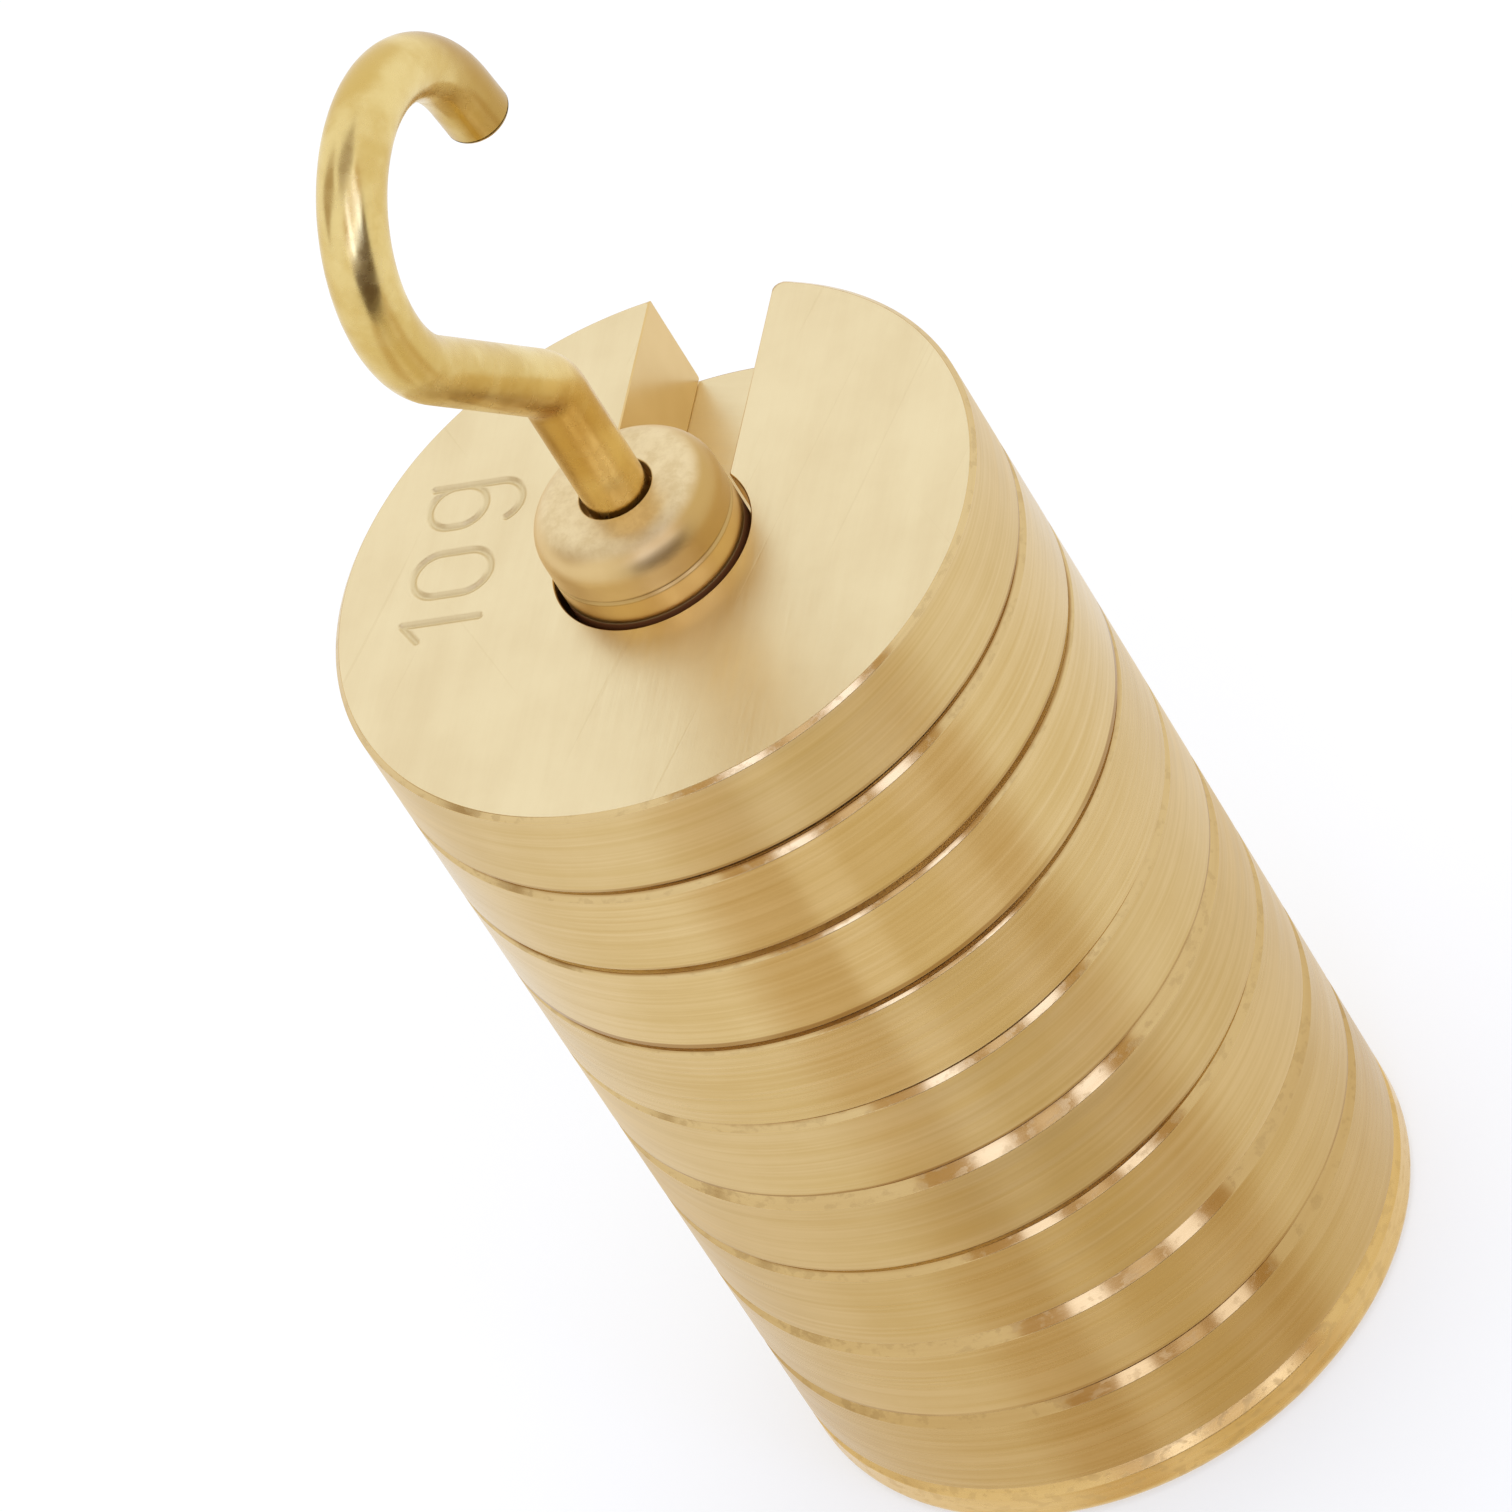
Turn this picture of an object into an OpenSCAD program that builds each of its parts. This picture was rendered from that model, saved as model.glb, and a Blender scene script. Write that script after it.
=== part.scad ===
// Slotted weight set: a hanger with a wire hook, and round weights stacked on its stem.
// Millimetres, +Z up, origin at the centre of the base plate's underside.
// Each weight has a slot that slips over the hook's thin neck. It is then lowered onto
// the thicker stem, which is wider than the slot, so the weight can't leave sideways.

/* [Weights] */
// Number of weights on the stem
weight_count = 9; // [4:1:12]
// Diameter of the weights and of the base plate under them
weight_d = 21.8; // [19:0.1:26]
// Thickness of one weight
weight_t = 3.9; // [2.6:0.1:6]
// Width of the chamfer around both faces of a weight
edge_chamfer = 0.25; // [0.1:0.05:0.5]
// Gap on each side between the hook's wire and the slot's walls
slot_clearance = 1.1; // [0.4:0.05:1.3]
// Gap all round between the stem and a weight's bore
stem_clearance = 0.2; // [0.1:0.05:0.6]
// Turn of every second weight against the top one, in degrees
stagger = 75; // [0:5:110]

/* [Denomination mark] */
// Height of the figures
mark_h = 2.7; // [2:0.1:2.8]
// Width of the engraved stroke
mark_stroke = 0.3; // [0.2:0.02:0.4]
// Depth of the engraved stroke
mark_depth = 0.14; // [0.06:0.02:0.2]
// Distance of the mark's middle from the weight's centre line, towards the slot
mark_shift = 0.95; // [0:0.05:1.2]

/* [Base plate] */
// Thickness of the base plate
base_t = 1.6; // [1.4:0.1:3]
// Radius of the rounding around the base plate's underside
base_round = 0.5; // [0.2:0.05:0.8]
// Height of the spigot that the stem tube is pressed on
spigot_h = 3.5; // [2:0.1:4.5]

/* [Stem] */
// Outer diameter of the stem
stem_d = 6.3; // [5.4:0.1:7]
// Wall of the stem tube
stem_wall = 0.45; // [0.3:0.05:0.8]
// Height of the head's top above the top weight
head_rise = 2.8; // [2.4:0.1:4]
// Radius of the rounding around the head's top
head_round = 1.1; // [0.3:0.05:1.2]
// Height of the seam between tube and head above the top weight
seam_rise = 1; // [0.3:0.05:1.1]
// Length of the plug that holds the head in the tube
plug_h = 3; // [2:0.1:4]

/* [Hook] */
// Diameter of the hook's wire
wire_d = 2.15; // [1.8:0.05:2.6]
// Spare length of the straight neck beyond a weight's thickness
neck_clearance = 0.45; // [0.2:0.05:1]
// Radius of the neck's bend, at the middle of the wire
bend_r = 2; // [1.6:0.1:3]
// Lean of the shank, in degrees from upright
lean = 36.5; // [25:0.5:50]
// Length of the straight shank between the bend and the loop
shank_l = 6.5; // [4:0.1:8]
// Radius of the loop, at the middle of the wire
loop_r = 4.6; // [4:0.05:6]
// Sweep of the loop, in degrees
loop_sweep = 209; // [180:1:230]
// Length of the straight tip
tip_l = 1.4; // [1:0.1:3]
// Width of the chamfer around the tip's end
tip_chamfer = 0.25; // [0.1:0.05:0.4]
// Turn of the hook's plane against the top weight's slot, in degrees
hook_turn = -5; // [-30:1:30]

/* [Hidden] */
$fn = 96;
// Overshoot of a cutter past the face that it opens
cut = 0.5;
// Width of the flat floor of an engraved stroke
stroke_floor = 0.06;
// Width of the fine break on the edges that meet at the stem's seam
seam_break = 0.08;
// Gap around the wire at the mouth of the head's bore, and its depth
mouth_gap = 0.15;
mouth_depth = 0.8;
// Width of the break around the spigot's end
spigot_break = 0.3;
// Swell of the wire where it is bent, and the length that a straight reaches into a bend
bend_swell = 0.01;
lap = 0.1;

weight_r = weight_d / 2;
bore_r = stem_d / 2 + stem_clearance;
slot_w = wire_d + 2 * slot_clearance;
stem_bore = stem_d - 2 * stem_wall;
stack_top = base_t + weight_count * weight_t;
seam_z = stack_top + seam_rise;
head_top = stack_top + head_rise;
plug_z = seam_z - plug_h;

// The hook lies in one upright plane: its points are [across, up]
neck_top = head_top + weight_t + neck_clearance;
bend_end = [-bend_r * (1 - cos(lean)), neck_top + bend_r * sin(lean)];
shank_end = bend_end + shank_l * [-sin(lean), cos(lean)];
loop_centre = shank_end + loop_r * [cos(lean), sin(lean)];
loop_end = 180 + lean - loop_sweep;
tip_start = loop_centre + loop_r * [cos(loop_end), sin(loop_end)];

// The mark stands half way between the bore and the rim, figures upright towards the rim
mark_r = (bore_r + weight_r - edge_chamfer) / 2;
figure_w = 0.65 * mark_h;
figure_gap = 0.4 * mark_h;
bowl_r = 0.31 * mark_h;
bowl_h = 0.73 * mark_h;
tail_drop = 0.2 * mark_h;
flag_l = 0.36 * mark_h;
flag_angle = 48;
tail_sweep = 150;
mark_w = figure_gap + figure_w + figure_gap + 2 * bowl_r;

// Cutter for an engraved stroke: sloping walls, a narrow floor and a straight lead above
module groove_profile() {
    half = mark_stroke / 2;
    floor_half = stroke_floor / 2;
    polygon([
        [-half, cut],
        [-half, 0],
        [-floor_half, -mark_depth],
        [floor_half, -mark_depth],
        [half, 0],
        [half, cut]
    ]);
}

module groove_end() {
    translate([0, 0, -mark_depth])
        cylinder(d1 = stroke_floor, d2 = mark_stroke, h = mark_depth);
    cylinder(d = mark_stroke, h = cut);
}

module groove_line(from, to) {
    run = to - from;
    translate([from.x, from.y, 0])
        rotate(atan2(run.y, run.x)) {
            rotate([90, 0, 90])
                linear_extrude(norm(run))
                    groove_profile();
            groove_end();
            translate([norm(run), 0, 0])
                groove_end();
        }
}

module groove_arc(centre, r, from, sweep) {
    translate([centre.x, centre.y, 0])
        rotate(from) {
            rotate_extrude(angle = sweep)
                translate([r, 0])
                    groove_profile();
            translate([r, 0, 0])
                groove_end();
            rotate(sweep)
                translate([r, 0, 0])
                    groove_end();
        }
}

// Figure one, its foot at the origin
module figure_one() {
    top = [0, mark_h];
    groove_line([0, 0], top);
    groove_line(top, top - flag_l * [sin(flag_angle), cos(flag_angle)]);
}

// Figure nought, its left edge at x = 0
module figure_nought() {
    r = figure_w / 2;
    groove_arc([r, r], r, 180, 180);
    groove_line([figure_w, r], [figure_w, mark_h - r]);
    groove_arc([r, mark_h - r], r, 0, 180);
    groove_line([0, mark_h - r], [0, r]);
}

// Letter g for gram, its left edge at x = 0
module letter_gram() {
    stem_x = 2 * bowl_r;
    upper_y = mark_h - bowl_r;
    lower_y = mark_h - bowl_h + bowl_r;
    tail_y = bowl_r - tail_drop;
    groove_arc([bowl_r, upper_y], bowl_r, 0, 180);
    groove_line([0, upper_y], [0, lower_y]);
    groove_arc([bowl_r, lower_y], bowl_r, 180, 180);
    groove_line([stem_x, mark_h], [stem_x, tail_y]);
    groove_arc([bowl_r, tail_y], bowl_r, -tail_sweep, tail_sweep);
}

// The whole mark, its middle at the origin
module denomination() {
    translate([-mark_w / 2, -mark_h / 2, 0]) {
        figure_one();
        translate([figure_gap, 0, 0])
            figure_nought();
        translate([2 * figure_gap + figure_w, 0, 0])
            letter_gram();
    }
}

// One weight on z = 0, its slot along +X
module slotted_weight() {
    difference() {
        rotate_extrude()
            polygon([
                [bore_r, 0],
                [weight_r - edge_chamfer, 0],
                [weight_r, edge_chamfer],
                [weight_r, weight_t - edge_chamfer],
                [weight_r - edge_chamfer, weight_t],
                [bore_r, weight_t]
            ]);
        translate([0, -slot_w / 2, -cut])
            cube([weight_r + cut, slot_w, weight_t + 2 * cut]);
        translate([mark_shift, mark_r, weight_t])
            denomination();
    }
}

// Weight number i, counted from the base plate
module placed_weight(i) {
    turned = (weight_count - i) % 2 == 1;
    color("#e0c48a")
        translate([0, 0, base_t + (i - 1) * weight_t])
            rotate(turned ? stagger : 0)
                slotted_weight();
}

// Quarter of a disc, between +X and +Y
module rounded_corner(r) {
    intersection() {
        circle(r);
        square(r);
    }
}

module base_plate() {
    spigot_top = base_t + spigot_h;
    color("#d9b878")
        rotate_extrude() {
            polygon([
                [0, base_round],
                [weight_r, base_round],
                [weight_r, base_t - edge_chamfer],
                [weight_r - edge_chamfer, base_t],
                [stem_bore / 2, base_t],
                [stem_bore / 2, spigot_top - spigot_break],
                [stem_bore / 2 - spigot_break, spigot_top],
                [0, spigot_top]
            ]);
            square([weight_r - base_round, base_round]);
            translate([weight_r - base_round, base_round])
                rotate(-90)
                    rounded_corner(base_round);
        }
}

module stem_tube() {
    color("#d8b874")
        rotate_extrude()
            polygon([
                [stem_bore / 2, base_t],
                [stem_d / 2, base_t],
                [stem_d / 2, seam_z - seam_break],
                [stem_d / 2 - seam_break, seam_z],
                [stem_bore / 2, seam_z]
            ]);
}

module stem_head() {
    shoulder_r = stem_d / 2 - head_round;
    shoulder_z = head_top - head_round;
    color("#d8b874")
        difference() {
            rotate_extrude() {
                polygon([
                    [0, plug_z],
                    [stem_bore / 2, plug_z],
                    [stem_bore / 2, seam_z],
                    [stem_d / 2 - seam_break, seam_z],
                    [stem_d / 2, seam_z + seam_break],
                    [stem_d / 2, shoulder_z],
                    [0, shoulder_z]
                ]);
                translate([0, shoulder_z])
                    square([shoulder_r, head_round]);
                translate([shoulder_r, shoulder_z])
                    rounded_corner(head_round);
            }
            translate([0, 0, plug_z - cut])
                cylinder(d = wire_d, h = head_top - plug_z + 2 * cut);
            translate([0, 0, head_top - mouth_depth])
                cylinder(d = wire_d + 2 * mouth_gap, h = mouth_depth + cut);
        }
}

// Bent wire in the upright plane, from an angle above +X, through a sweep
module wire_arc(centre, r, from, sweep) {
    translate([centre.x, 0, centre.y])
        rotate([90, 0, 0])
            rotate(from)
                rotate_extrude(angle = sweep)
                    translate([r, 0])
                        circle(d = wire_d + 2 * bend_swell);
}

// Places its children at a point of the upright plane, their +Z leaning towards +X
module along_wire(start, tilt) {
    translate([start.x, 0, start.y])
        rotate([0, tilt, 0])
            children();
}

module hook_neck() {
    translate([0, 0, plug_z])
        cylinder(d = wire_d, h = neck_top + lap - plug_z);
}

module hook_shank() {
    translate([0, 0, -lap])
        cylinder(d = wire_d, h = shank_l + 2 * lap);
}

module hook_tip() {
    rotate_extrude()
        polygon([
            [0, -lap],
            [wire_d / 2, -lap],
            [wire_d / 2, tip_l - tip_chamfer],
            [wire_d / 2 - tip_chamfer, tip_l],
            [0, tip_l]
        ]);
}

module hook() {
    color("#cfa64e")
        rotate(hook_turn) {
            hook_neck();
            wire_arc([-bend_r, neck_top], bend_r, 0, lean);
            along_wire(bend_end, -lean)
                hook_shank();
            wire_arc(loop_centre, loop_r, loop_end, loop_sweep);
            along_wire(tip_start, 180 - loop_end)
                hook_tip();
        }
}

base_plate();
stem_tube();
stem_head();
hook();
for (i = [1 : weight_count])
    placed_weight(i);
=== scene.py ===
"""Slotted weight set: nine slotted brass weights on the stem of a hanger with a wire hook.

Sizes are in millimetres here, as in the part's source, and each mesh is made in metres.
"""
import math

import bpy
import numpy as np
from mathutils import Matrix, Vector
from mathutils.geometry import delaunay_2d_cdt


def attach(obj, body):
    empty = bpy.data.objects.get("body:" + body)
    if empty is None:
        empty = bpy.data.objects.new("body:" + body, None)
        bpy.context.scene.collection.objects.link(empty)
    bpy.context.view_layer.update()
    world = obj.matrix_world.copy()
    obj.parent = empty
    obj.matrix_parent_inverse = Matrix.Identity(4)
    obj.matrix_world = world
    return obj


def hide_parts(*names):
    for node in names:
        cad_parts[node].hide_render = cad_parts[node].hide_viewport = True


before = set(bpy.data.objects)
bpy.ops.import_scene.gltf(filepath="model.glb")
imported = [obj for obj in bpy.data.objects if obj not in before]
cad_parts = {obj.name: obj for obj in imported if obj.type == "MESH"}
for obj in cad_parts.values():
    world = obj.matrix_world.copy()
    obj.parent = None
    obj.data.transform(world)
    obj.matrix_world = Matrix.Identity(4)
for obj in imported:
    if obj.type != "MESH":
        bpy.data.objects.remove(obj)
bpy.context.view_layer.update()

MM = 0.001

# Sizes of the part, as in its source
WEIGHT_COUNT = 9
WEIGHT_R = 10.9
WEIGHT_T = 3.9
EDGE_CHAMFER = 0.25
BORE_R = 3.35
SLOT_HALF = 2.175
STAGGER = 75
BASE_T = 1.6
BASE_ROUND = 0.5
BASE_CHAMFER = 0.33
SPIGOT_H = 3.5
SPIGOT_BREAK = 0.3
STEM_R = 3.15
STEM_BORE_R = 2.7
HEAD_RISE = 2.8
HEAD_ROUND = 1.1
SEAM_RISE = 1.0
SEAM_BREAK = 0.08
PLUG_H = 3.0
WIRE_R = 1.075
MOUTH_GAP = 0.15
MOUTH_DEPTH = 0.8
NECK_CLEARANCE = 0.45
BEND_R = 2.0
LEAN = 36.5
SHANK_L = 6.5
LOOP_R = 4.6
LOOP_SWEEP = 209
TIP_L = 1.4
TIP_CHAMFER = 0.25
HOOK_TURN = -5
MARK_H = 2.7
MARK_STROKE = 0.3
MARK_DEPTH = 0.14
MARK_SHIFT = 0.95

STACK_TOP = BASE_T + WEIGHT_COUNT * WEIGHT_T
SEAM_Z = STACK_TOP + SEAM_RISE
HEAD_TOP = STACK_TOP + HEAD_RISE
PLUG_Z = SEAM_Z - PLUG_H
NECK_TOP = HEAD_TOP + WEIGHT_T + NECK_CLEARANCE

# Fineness of the meshes
LATHE_STEPS = 256
RIM_STEPS = 256
BORE_STEPS = 112
EDGE_STEPS = 4
LATHE_EDGE_STEPS = 12
WIRE_STEPS = 64
TIP_STEPS = 8
MARK_GRID = 0.045


# ---------------------------------------------------------------- mesh code

def unit(vector):
    return vector / np.linalg.norm(vector)


def outward(direction):
    """Normal on the right of a direction of travel in a plane."""
    return np.array([direction[1], -direction[0]])


def rounded(corners, radii, closed=True, steps=EDGE_STEPS):
    """Points and normals along a path whose corners are rounded off.

    The body lies on the left of the path. A radius of 0 keeps its corner as one smooth
    point, for corners that lie along an arc.
    """
    corners = np.asarray(corners, float)
    last = len(corners) - 1
    points, normals = [], []
    for i, corner in enumerate(corners):
        into = unit(corner - corners[i - 1]) if closed or i > 0 else None
        out = unit(corners[(i + 1) % len(corners)] - corner) if closed or i < last else into
        into = out if into is None else into
        if radii[i] == 0:
            points.append(corner)
            normals.append(unit(outward(into) + outward(out)))
            continue
        turn = math.atan2(into[0] * out[1] - into[1] * out[0], into @ out)
        side = math.copysign(1, turn)
        start = corner - into * radii[i] * math.tan(abs(turn) / 2)
        centre = start - outward(into) * radii[i] * side
        for k in range(steps + 1):
            angle = turn * k / steps
            c, s = math.cos(angle), math.sin(angle)
            n = np.array([[c, -s], [s, c]]) @ outward(into)
            points.append(centre + n * radii[i] * side)
            normals.append(n)
    return np.array(points), np.array(normals)


class Shape:
    """A mesh in the making: points in millimetres, their normals, and faces by finish."""

    def __init__(self):
        self.points = []
        self.normals = []
        self.faces = []
        self.finishes = []

    def add(self, points, normals):
        """Adds points and returns their indices."""
        start = len(self.points)
        self.points.extend(map(tuple, points))
        self.normals.extend(map(tuple, normals))
        return np.arange(start, start + len(points))

    def face(self, corners, finish=0):
        """Adds a face by its points' indices. Finish is the place of its material."""
        self.faces.append([int(c) for c in corners])
        self.finishes.append(int(finish))

    def band(self, low, high, finishes=None):
        """Joins two rings of as many points with quads, each of the finish given for it."""
        for i in range(len(low)):
            j = (i + 1) % len(low)
            self.face((low[i], low[j], high[j], high[i]), finishes[i] if finishes else 0)

    def fan(self, ring, tip, flip=False):
        """Joins a ring to one point with triangles."""
        for i in range(len(ring)):
            j = (i + 1) % len(ring)
            self.face((ring[j], ring[i], tip) if flip else (ring[i], ring[j], tip))

    def lathe(self, profile, normals, closed=True, steps=LATHE_STEPS):
        """Turns a profile of [radius, height] points about the Z axis."""
        angles = np.linspace(0, 2 * np.pi, steps, endpoint=False)
        c, s = np.cos(angles), np.sin(angles)
        rings = []
        for (r, z), (nr, nz) in zip(profile, normals):
            if r < 1e-9:
                rings.append(self.add([(0, 0, z)], [(0, 0, math.copysign(1, nz))]))
            else:
                rings.append(self.add(
                    np.c_[r * c, r * s, np.full(steps, z)],
                    np.c_[nr * c, nr * s, np.full(steps, nz)]))
        pairs = list(zip(rings, rings[1:])) + ([(rings[-1], rings[0])] if closed else [])
        for low, high in pairs:
            if len(low) == 1:
                self.fan(high, low[0], flip=True)
            elif len(high) == 1:
                self.fan(low, high[0])
            else:
                self.band(low, high)

    def make(self, name, body, slot, finishes, turn=0, height=0):
        """Makes the object, turned and raised, in place of its CAD node."""
        c, s = math.cos(math.radians(turn)), math.sin(math.radians(turn))
        turned = np.array([[c, s, 0], [-s, c, 0], [0, 0, 1]])
        mesh = bpy.data.meshes.new(name)
        mesh.from_pydata(np.array(self.points) @ turned * MM, [], self.faces)
        for material in finishes:
            mesh.materials.append(material)
        mesh.polygons.foreach_set("material_index", self.finishes)
        mesh.polygons.foreach_set("use_smooth", [True] * len(self.faces))
        mesh.update()
        mesh.normals_split_custom_set_from_vertices(np.array(self.normals) @ turned)
        piece = bpy.data.objects.new(name, mesh)
        piece.location.z = height * MM
        bpy.context.scene.collection.objects.link(piece)
        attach(piece, body)
        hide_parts(name)
        return piece


# ---------------------------------------------------------------- engraved mark

# Of the visible mark, which is worn: its depth against the source's, and the burr along its
# strokes. Places across a stroke are in half its width, from its middle.
MARK_WEAR = 0.65
GROOVE_FLOOR = 0.05
GROOVE_FLANK = 1.15
BURR_PLACE = 1.35
BURR_W = 0.25
BURR_H = 0.006


def stroke_line(start, end, count=24):
    return np.linspace(start, end, count)


def stroke_arc(centre, r, start, sweep, count=96):
    a = np.radians(np.linspace(start, start + sweep, count))
    return np.c_[centre[0] + r * np.cos(a), centre[1] + r * np.sin(a)]


def mark_strokes():
    """The strokes of 10g as lists of points, in the weight's plan."""
    figure_w = 0.65 * MARK_H
    gap = 0.4 * MARK_H
    bowl_r = 0.31 * MARK_H
    bowl_h = 0.73 * MARK_H
    drop = 0.2 * MARK_H
    flag = 0.36 * MARK_H
    flag_angle = math.radians(48)
    flag_end = (-flag * math.sin(flag_angle), MARK_H - flag * math.cos(flag_angle))
    tail_sweep = 150
    width = 2 * gap + figure_w + 2 * bowl_r
    r = figure_w / 2
    one = [
        stroke_line((0, 0), (0, MARK_H)),
        stroke_line((0, MARK_H), flag_end),
    ]
    nought = [
        stroke_arc((r, r), r, 180, 180),
        stroke_line((figure_w, r), (figure_w, MARK_H - r)),
        stroke_arc((r, MARK_H - r), r, 0, 180),
        stroke_line((0, MARK_H - r), (0, r)),
    ]
    upper, lower, tail = MARK_H - bowl_r, MARK_H - bowl_h + bowl_r, bowl_r - drop
    gram = [
        stroke_arc((bowl_r, upper), bowl_r, 0, 180),
        stroke_line((0, upper), (0, lower)),
        stroke_arc((bowl_r, lower), bowl_r, 180, 180),
        stroke_line((2 * bowl_r, MARK_H), (2 * bowl_r, tail)),
        stroke_arc((bowl_r, tail), bowl_r, -tail_sweep, tail_sweep),
    ]
    middle = np.array([width / 2, MARK_H / 2])
    place = np.array([MARK_SHIFT, (BORE_R + WEIGHT_R - EDGE_CHAMFER) / 2])
    strokes = []
    for shift, letter in ((0, one), (gap, nought), (2 * gap + figure_w, gram)):
        strokes += [line + (shift, 0) - middle + place for line in letter]
    return strokes


def distance_to_strokes(x, y, strokes):
    best = np.full(x.shape, np.inf)
    for line in strokes:
        for (ax, ay), (bx, by) in zip(line[:-1], line[1:]):
            dx, dy = bx - ax, by - ay
            t = np.clip(((x - ax) * dx + (y - ay) * dy) / (dx * dx + dy * dy), 0, 1)
            best = np.minimum(best, np.hypot(x - ax - t * dx, y - ay - t * dy))
    return best


def mark_patch():
    """Height field of the engraved mark: x and y of its columns and rows, height, slopes."""
    strokes = mark_strokes()
    every = np.concatenate(strokes)
    margin = 2 * MARK_STROKE
    low, high = every.min(0) - margin, every.max(0) + margin
    nx, ny = np.ceil((high - low) / MARK_GRID).astype(int) + 1
    xs, ys = np.linspace(low[0], high[0], nx), np.linspace(low[1], high[1], ny)
    x, y = np.meshgrid(xs, ys)
    off = distance_to_strokes(x, y, strokes) / (MARK_STROKE / 2)
    groove = 0.5 + 0.5 * np.cos(np.pi * np.clip((off - GROOVE_FLOOR) / GROOVE_FLANK, 0, 1))
    burr = np.exp(-((off - BURR_PLACE) / BURR_W) ** 2)
    height = -MARK_DEPTH * MARK_WEAR * groove + BURR_H * burr
    slope_y, slope_x = np.gradient(height, ys, xs)
    return xs, ys, height, slope_x, slope_y


# ---------------------------------------------------------------- weights

# A weight's materials, in their order
RIM, EDGE, WALL, PLANE, MARKED = range(5)

# Corners of the slot in plan, and the one that is worn on the top weight
CORNER_R = 0.1
WORN_R = 0.35

# How far the arcs of rim and bore end before their corners, in these corners' radii
RIM_ROOM = 1.7
BORE_ROOM = 2.2

# Rounding of the chamfers along the rim, width and rounding of the edges of slot and bore
RIM_ROUNDING = 0.04
BROKEN_EDGE = 0.04
BROKEN_ROUNDING = 0.02

# Room under each weight, above the burr of the mark below
FACE_GAP = 0.008

# How unevenly the chamfers are turned, and in how many waves around the rim
WOBBLE = 0.05
WOBBLE_WAVES = (1, 2, 3, 5, 8, 13, 21)


def weight_plan(rim_r, wall_y, bore_r, worn):
    """Plan of a weight with its slot along +X. rim_r holds RIM_STEPS + 1 radii.

    worn is the radius of the mouth's corner on the -Y side.
    """
    half_mouth = math.asin(wall_y / rim_r[0])
    rim_a = np.linspace(half_mouth + RIM_ROOM * CORNER_R / WEIGHT_R,
                        2 * np.pi - half_mouth - RIM_ROOM * worn / WEIGHT_R, RIM_STEPS + 1)
    bore_gap = math.asin(wall_y / bore_r) + BORE_ROOM * CORNER_R / BORE_R
    bore_a = np.linspace(2 * np.pi - bore_gap, bore_gap, BORE_STEPS + 1)
    rim = np.c_[rim_r * np.cos(rim_a), rim_r * np.sin(rim_a)]
    bore = bore_r * np.c_[np.cos(bore_a), np.sin(bore_a)]
    mouth_x = math.sqrt(rim_r[0] ** 2 - wall_y ** 2)
    throat_x = math.sqrt(bore_r ** 2 - wall_y ** 2)
    corners = np.concatenate([
        rim, [(mouth_x, -wall_y), (throat_x, -wall_y)],
        bore, [(throat_x, wall_y), (mouth_x, wall_y)]])
    radii = np.zeros(len(corners))
    radii[[len(rim), len(rim) + 1, -2, -1]] = worn, CORNER_R, CORNER_R, CORNER_R
    return rounded(corners, radii)


def edge_profile(lower, upper, rounding):
    """Inset, height and normal along a weight's edge, from its lower to its upper chamfer."""
    corners = [
        (2 * lower, FACE_GAP), (lower, FACE_GAP), (0, lower),
        (0, WEIGHT_T - upper), (upper, WEIGHT_T), (2 * upper, WEIGHT_T)]
    path = np.array(corners) * (-1, 1)
    points, normals = rounded(path, [0] + [rounding] * 4 + [0], closed=False)
    return -points[1:-1, 0], points[1:-1, 1], normals[1:-1]


def weight_shape(seed, lower, upper, worn):
    """A slotted weight on z = 0 with the mark on its top face, and its own two chamfers."""
    shape = Shape()
    rng = np.random.default_rng(seed)
    angles = np.linspace(0, 2 * np.pi, RIM_STEPS + 1)
    wobble = np.zeros(RIM_STEPS + 1)
    for waves in WOBBLE_WAVES:
        size = rng.normal(0, WOBBLE / math.sqrt(waves))
        wobble += size * np.cos(waves * angles + rng.uniform(0, 6.3))
    rim_inset, rim_z, rim_n = edge_profile(lower, upper, RIM_ROUNDING)
    cut_inset, cut_z, cut_n = edge_profile(BROKEN_EDGE, BROKEN_EDGE, BROKEN_ROUNDING)
    corner_count = EDGE_STEPS + 1
    cut_count = 4 * corner_count + BORE_STEPS + 1
    on_rim = np.r_[
        np.ones(RIM_STEPS + 1), np.linspace(1, 0, corner_count),
        np.zeros(cut_count - 2 * corner_count), np.linspace(0, 1, corner_count)]
    walls = [WALL] * (len(on_rim) - RIM_STEPS)
    rings = []
    for k in range(len(rim_inset)):
        inset = rim_inset[k] * (1 + wobble)
        plan, plan_n = weight_plan(
            WEIGHT_R - inset, SLOT_HALF + cut_inset[k], BORE_R + cut_inset[k], worn)
        z = rim_z[k] * on_rim + cut_z[k] * (1 - on_rim)
        n = rim_n[k] * on_rim[:, None] + cut_n[k] * (1 - on_rim[:, None])
        n /= np.linalg.norm(n, axis=1)[:, None]
        rings.append(shape.add(
            np.c_[plan, z], np.c_[plan_n * n[:, :1], n[:, 1]]))
    for k, (low, high) in enumerate(zip(rings, rings[1:])):
        on_side = k == len(rings) // 2 - 1
        shape.band(low, high, [RIM if on_side else EDGE] * RIM_STEPS + walls)
    fill_face(shape, rings[0], below=True)
    patch, hole = mark_points(shape)
    fill_face(shape, rings[-1], hole=hole)
    for row, above in zip(patch, patch[1:]):
        for i in range(len(row) - 1):
            shape.face((row[i], row[i + 1], above[i + 1], above[i]), MARKED)
    return shape


MARK = mark_patch()


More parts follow.
